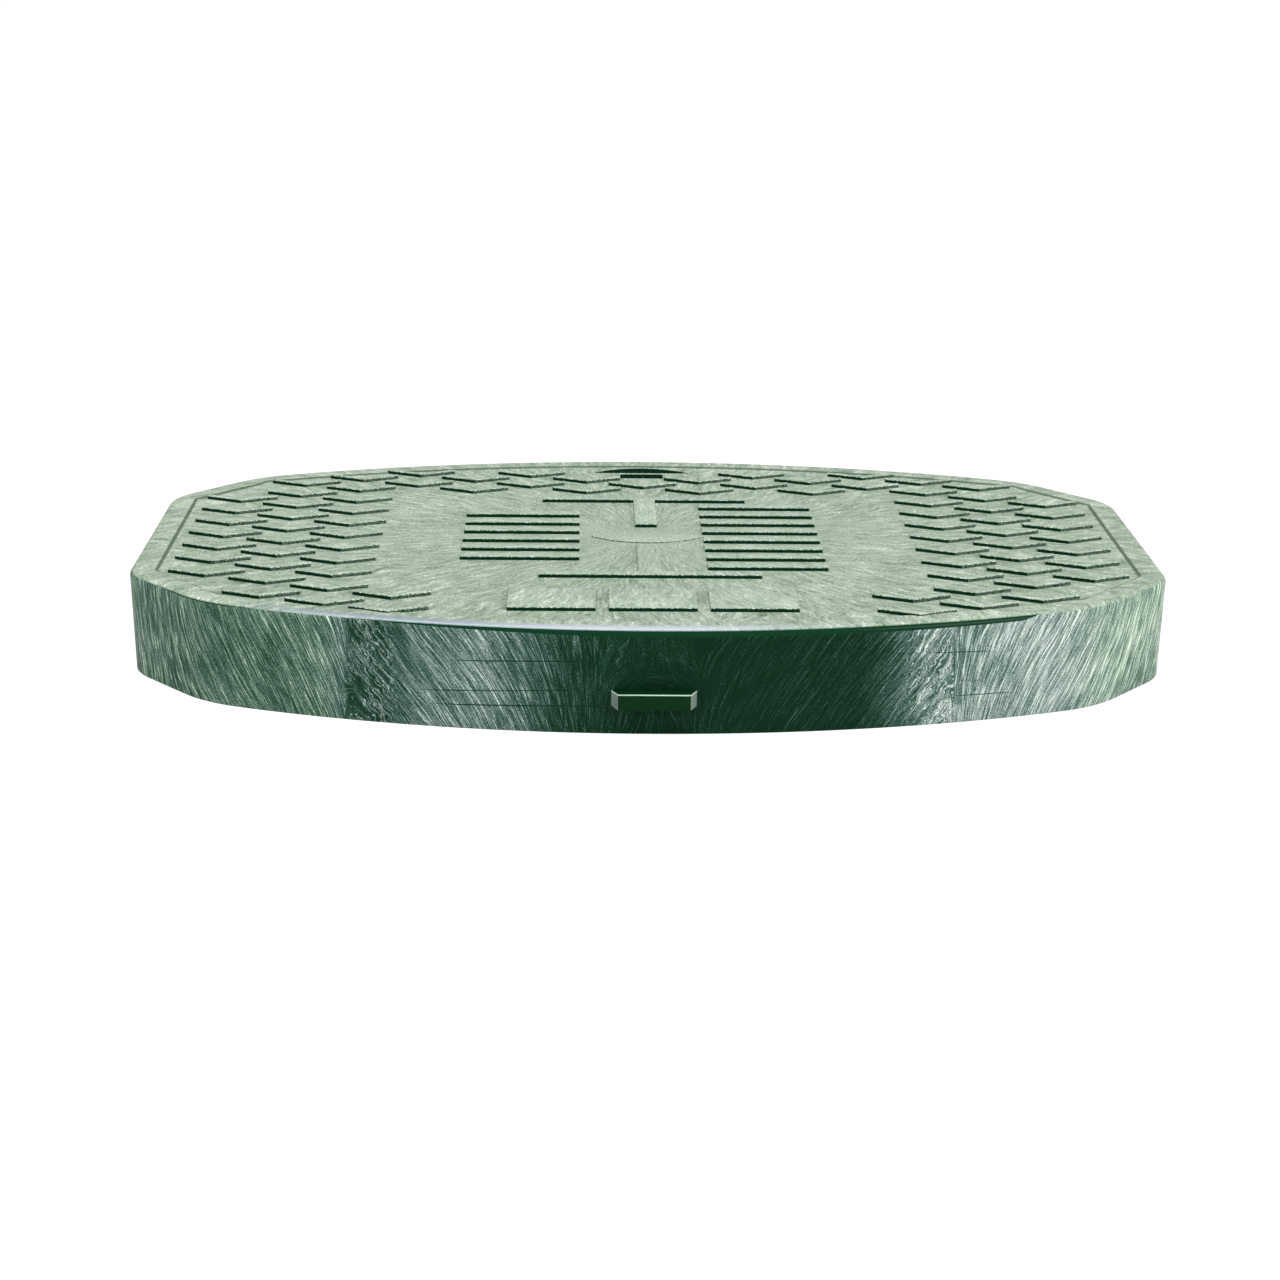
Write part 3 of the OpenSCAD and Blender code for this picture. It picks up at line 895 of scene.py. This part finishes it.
def tread_tree(material):
    """A chevron over every point of the input mesh."""
    sizes = {"Width": TREAD_W, "Drop": TREAD_DROP, "Band": TREAD_BAND,
             "Relief": RELIEF, "Sink": SINK}
    tree, n, given = geometry_group("tread_field", "Points", sizes, "Treads")
    strip = n.add("GeometryNodeMeshGrid")
    strip.inputs["Vertices X"].default_value = 3
    strip.inputs["Vertices Y"].default_value = 2
    n.join(given["Width"], strip.inputs["Size X"])
    n.join(given["Band"], strip.inputs["Size Y"])
    x, _, _ = n.separate(n.add("GeometryNodeInputPosition").outputs[0])
    from_middle = n.math("MULTIPLY", n.math("ABSOLUTE", x), 2.0)
    toward_point = n.opposite(n.math("DIVIDE", from_middle, given["Width"]))
    shift_y = n.math("SUBTRACT", n.math("DIVIDE", given["Band"], 2.0),
                     n.math("MULTIPLY", toward_point, given["Drop"]))
    bent = n.add("GeometryNodeSetPosition")
    n.join(strip.outputs["Mesh"], bent.inputs["Geometry"])
    n.join(n.combine(0.0, shift_y, n.math("MULTIPLY", given["Sink"], -1.0)),
           bent.inputs["Offset"])
    laid = n.add("GeometryNodeInstanceOnPoints")
    n.join(given["Points"], laid.inputs["Points"])
    n.join(closed_solid(n, bent.outputs[0], given), laid.inputs["Instance"])
    hand_out(n, laid.outputs[0], material)
    return tree


def raise_tree(material):
    """Flat footprints lifted out of the field into closed solids."""
    sizes = {"Relief": RELIEF, "Sink": SINK}
    tree, n, given = geometry_group("raise_footprints", "Footprints", sizes, "Raised")
    lowered = n.add("GeometryNodeSetPosition")
    n.join(given["Footprints"], lowered.inputs["Geometry"])
    n.join(n.combine(0.0, 0.0, n.math("MULTIPLY", given["Sink"], -1.0)),
           lowered.inputs["Offset"])
    hand_out(n, closed_solid(n, lowered.outputs[0], given), material)
    return tree


def rib_tree(material):
    """A flat rib of a given thickness and depth along every edge."""
    sizes = {"Thickness": RIB_T, "Depth": RIB_H + SINK}
    tree, n, given = geometry_group("rib_grid", "Lines", sizes, "Ribs")
    path = n.add("GeometryNodeMeshToCurve")
    n.join(given["Lines"], path.inputs["Mesh"])
    section = n.add("GeometryNodeCurvePrimitiveQuadrilateral")
    n.join(given["Thickness"], section.inputs["Width"])
    n.join(given["Depth"], section.inputs["Height"])
    swept = n.add("GeometryNodeCurveToMesh")
    n.join(path.outputs[0], swept.inputs["Curve"])
    n.join(section.outputs[0], swept.inputs["Profile Curve"])
    swept.inputs["Fill Caps"].default_value = True
    hand_out(n, swept.outputs[0], material)
    return tree


# Pieces

def grow_piece(name, seed, tree, sizes, soft, material):
    """Piece that a geometry tree grows from a seed mesh, its sizes and edges in millimetres."""
    piece = new_object(name, seed)
    mod = piece.modifiers.new(tree.name, "NODES")
    mod.node_group = tree
    for item in tree.interface.items_tree:
        if item.in_out == "INPUT" and item.name in sizes:
            mod[item.identifier] = sizes[item.name] * MM
    bevel(piece, soft)
    applied(piece)
    finish_piece(piece, material)


def build_shell(material):
    """Skirt, rounded edge, rim, field and hollow in one closed skin, then slot and pocket."""
    loops = [[(x, y, z) for x, y in outline(inset, at_end, at_side)]
             for inset, at_end, at_side, z in edge_profile()]
    count = len(loops[0])
    faces = [list(range(count))]
    for low in range(0, (len(loops) - 1) * count, count):
        high = low + count
        for i in range(count):
            j = (i + 1) % count
            faces.append([low + i, low + j, high + j, high + i])
    faces.append([high + i for i in range(count)])
    points = [p for loop in loops for p in loop]
    shell = new_object("cover_shell", outward(mesh_from("cover_shell", points, faces)))

    slot = rectangle(0, SLOT_Y + SLOT_D / 2, SLOT_W, SLOT_D)
    pocket = bow(POCKET_W / 2, POCKET_REACH, base=SLOT_Y + SLOT_D + HOOK_BAR)
    top = BODY_H + CUT_OVER
    for mesh in (prism("slot_cut", slot, PLATE_LOW - CUT_UNDER, top),
                 prism("pocket_cut", pocket, FIELD_Z - POCKET_DEEP, top)):
        mod = shell.modifiers.new(mesh.name, "BOOLEAN")
        mod.operation, mod.solver = "DIFFERENCE", "EXACT"
        mod.object = new_object(mesh.name, mesh)
    cutters = [mod.object for mod in shell.modifiers]
    applied(shell, smooth_angle=30)
    for cutter in cutters:
        bpy.data.objects.remove(cutter)
    finish_piece(shell, material)


def build_treads(material):
    """Chevrons in columns that mirror about the middle one."""
    mirrored = [(-column, first, last) for column, first, last in TREAD_COLUMNS]
    points = [(column * TREAD_PITCH, row * TREAD_HALF_ROW, FIELD_Z)
              for column, first, last in TREAD_COLUMNS + mirrored + [MIDDLE_COLUMN]
              for row in range(first, last + 1, 2)]
    grow_piece("treads", mesh_from("treads", points, []), tread_tree(material),
               {"Relief": RELIEF}, RAISED_SOFT, material)


def cross_bar(side):
    """Footprint of a cross bar with its stem, in front (-1) or behind (1)."""
    far, near, end = side * (BAR_Y + BAR_W), side * BAR_Y, side * STEM_Y
    half, stem = BAR_LEN / 2, STEM_W / 2
    shape = [(-half, far), (half, far), (half, near), (stem, near), (stem, end),
             (-stem, end), (-stem, near), (-half, near)]
    return shape if side < 0 else shape[::-1]


def bar_group(x, count):
    """Footprints of a group of plain bars, centred on the middle."""
    return [rectangle(x, (i - (count - 1) / 2) * GROUP_PITCH, GROUP_BAR, GROUP_BAR_W)
            for i in range(count)]


def build_bars_and_pads(material):
    """Cross bars, groups of plain bars, plain pads and the lens-shaped mark."""
    tree = raise_tree(material)
    pads = [rectangle(i * PAD_PITCH, -PAD_Y, PAD_W, PAD_D) for i in (-1, 0, 1)]
    back = bow(MARK_LEN / 2, MARK_D / 2)[:-1]
    lens = back + [(-x, -y) for x, y in back]
    for name, shapes, relief, soft in (
            ("cross_bars", [cross_bar(-1), cross_bar(1)], RELIEF, RAISED_SOFT),
            ("bar_groups", bar_group(-LEFT_X, LEFT_BARS) + bar_group(RIGHT_X, RIGHT_BARS),
             RELIEF, RAISED_SOFT),
            ("pads", pads, RELIEF, RAISED_SOFT),
            ("lens_mark", [lens], MARK_H, MARK_SOFT)):
        grow_piece(name, footprints_mesh(name, shapes), tree, {"Relief": relief}, soft, material)


def build_tab(material):
    """Latch tab: a bevelled block that starts inside the skirt's wall."""
    root, front = TAB_ROOT / 2, TAB_ROOT / 2 - TAB_BEVEL
    inner = (DRAFT_IN + WALL) / 2 - HALF_W
    seat, out = DRAFT_IN / 2 - HALF_W, -HALF_W - TAB_OUT
    footprint = [(-root, inner), (-root, seat), (-front, out),
                 (front, out), (root, seat), (root, inner)]
    tab = new_object("latch_tab", prism("latch_tab", footprint, TAB_Z, TAB_Z + TAB_H))
    bevel(tab, TAB_SOFT, segments=3)
    applied(tab)
    finish_piece(tab, material)


def wall_reach(x):
    """Half length of a rib at x that ends inside the skirt's wall."""
    return math.sqrt((ARC_R - WALL + RIB_TUCK) ** 2 - x ** 2) - ARC_BACK


def build_ribs(material):
    """Crossed ribs under the plate, grown along lines at their middle height."""
    middle = PLATE_LOW + SINK - (RIB_H + SINK) / 2
    across = [RIB_PITCH_X * i for i in (-1.5, -0.5, 0.5, 1.5)]
    lines = [((x, -wall_reach(x)), (x, wall_reach(x))) for x in across]
    reach = HALF_L - WALL + RIB_TUCK
    lines += [((-reach, y), (reach, y)) for y in (-RIB_PITCH_Y, 0, RIB_PITCH_Y)]
    points = [(x, y, middle) for line in lines for x, y in line]
    edges = [(i, i + 1) for i in range(0, len(points), 2)]
    grow_piece("ribs", mesh_from("ribs", points, [], edges), rib_tree(material),
               {"Thickness": RIB_T}, RIB_SOFT, material)


# Studio

def build_floor():
    """Pale floor that keeps the object's shadow and looks nearly white to the camera."""
    corners = [(x * TO_MM, y * TO_MM, 0.0) for x, y in rectangle(0, 0, FLOOR_W, FLOOR_W)]
    floor = new_object("floor", mesh_from("floor", corners, [[0, 1, 2, 3]]))
    material, n = empty_material("pale_floor")
    matt = n.add("ShaderNodeBsdfDiffuse")
    matt.inputs["Color"].default_value = FLOOR_GREY
    white = n.add("ShaderNodeEmission")
    white.inputs["Strength"].default_value = FLOOR_WHITE
    rays = n.add("ShaderNodeLightPath")
    mixed = n.add("ShaderNodeMixShader")
    n.join_all((n.math("MULTIPLY", rays.outputs["Is Camera Ray"], WHITE_SHARE),
                matt.outputs[0], white.outputs[0]), mixed.inputs)
    n.join(mixed.outputs[0], n.add("ShaderNodeOutputMaterial").inputs["Surface"])
    floor.data.materials.append(material)


def build_world():
    """Even light from all round, seen as white by the camera."""
    world = bpy.data.worlds.new("studio")
    bpy.context.scene.world = world
    world.use_nodes = True
    world.node_tree.nodes.clear()
    n = Nodes(world.node_tree)
    rays = n.add("ShaderNodeLightPath").outputs
    seen = n.math("MAXIMUM", rays["Is Camera Ray"], rays["Is Transmission Ray"])
    back = n.add("ShaderNodeBackground")
    n.join(n.mix(seen, WORLD_LIGHT, WORLD_WHITE), back.inputs["Strength"])
    n.join(back.outputs[0], n.add("ShaderNodeOutputWorld").inputs["Surface"])


def softbox(name, place, aim, width, height, watts):
    """Rectangular lamp at a place, turned to its aim."""
    lamp = bpy.data.lights.new(name, "AREA")
    lamp.shape = "RECTANGLE"
    lamp.size, lamp.size_y, lamp.energy = width, height, watts
    obj = new_object(name, lamp)
    obj.location = place
    obj.rotation_euler = (Vector(aim) - Vector(place)).to_track_quat("-Z", "Y").to_euler()


def build_camera():
    """The photograph's camera."""
    camera = bpy.data.cameras.new("camera")
    camera.sensor_width = SENSOR_MM
    camera.lens = SENSOR_MM * FOCAL_PX / FRAME_PX
    camera.clip_start, camera.clip_end = SEEN_FROM, SEEN_TO
    obj = new_object("camera", camera)
    columns = [AIM_RIGHT, tuple(-c for c in AIM_DOWN), tuple(-c for c in AIM_FORWARD)]
    turn = Matrix(columns).transposed().to_4x4()
    obj.matrix_world = Matrix.Translation(Vector(EYE) * MM) @ turn
    bpy.context.scene.camera = obj


def main():
    """The whole scene."""
    bpy.context.scene.view_settings.view_transform = "Standard"
    groups = {"hair": hair_streaks_group(), "grain": skin_grain_group(),
              "top": top_flow_group(), "inset": inset_group()}
    shell, raised = shell_plastic(groups), raised_plastic(groups)
    build_shell(shell)
    build_treads(raised)
    build_bars_and_pads(raised)
    build_tab(tab_plastic(groups))
    build_ribs(shell)
    build_floor()
    build_world()
    for box in SOFTBOXES:
        softbox(*box)
    build_camera()


main()
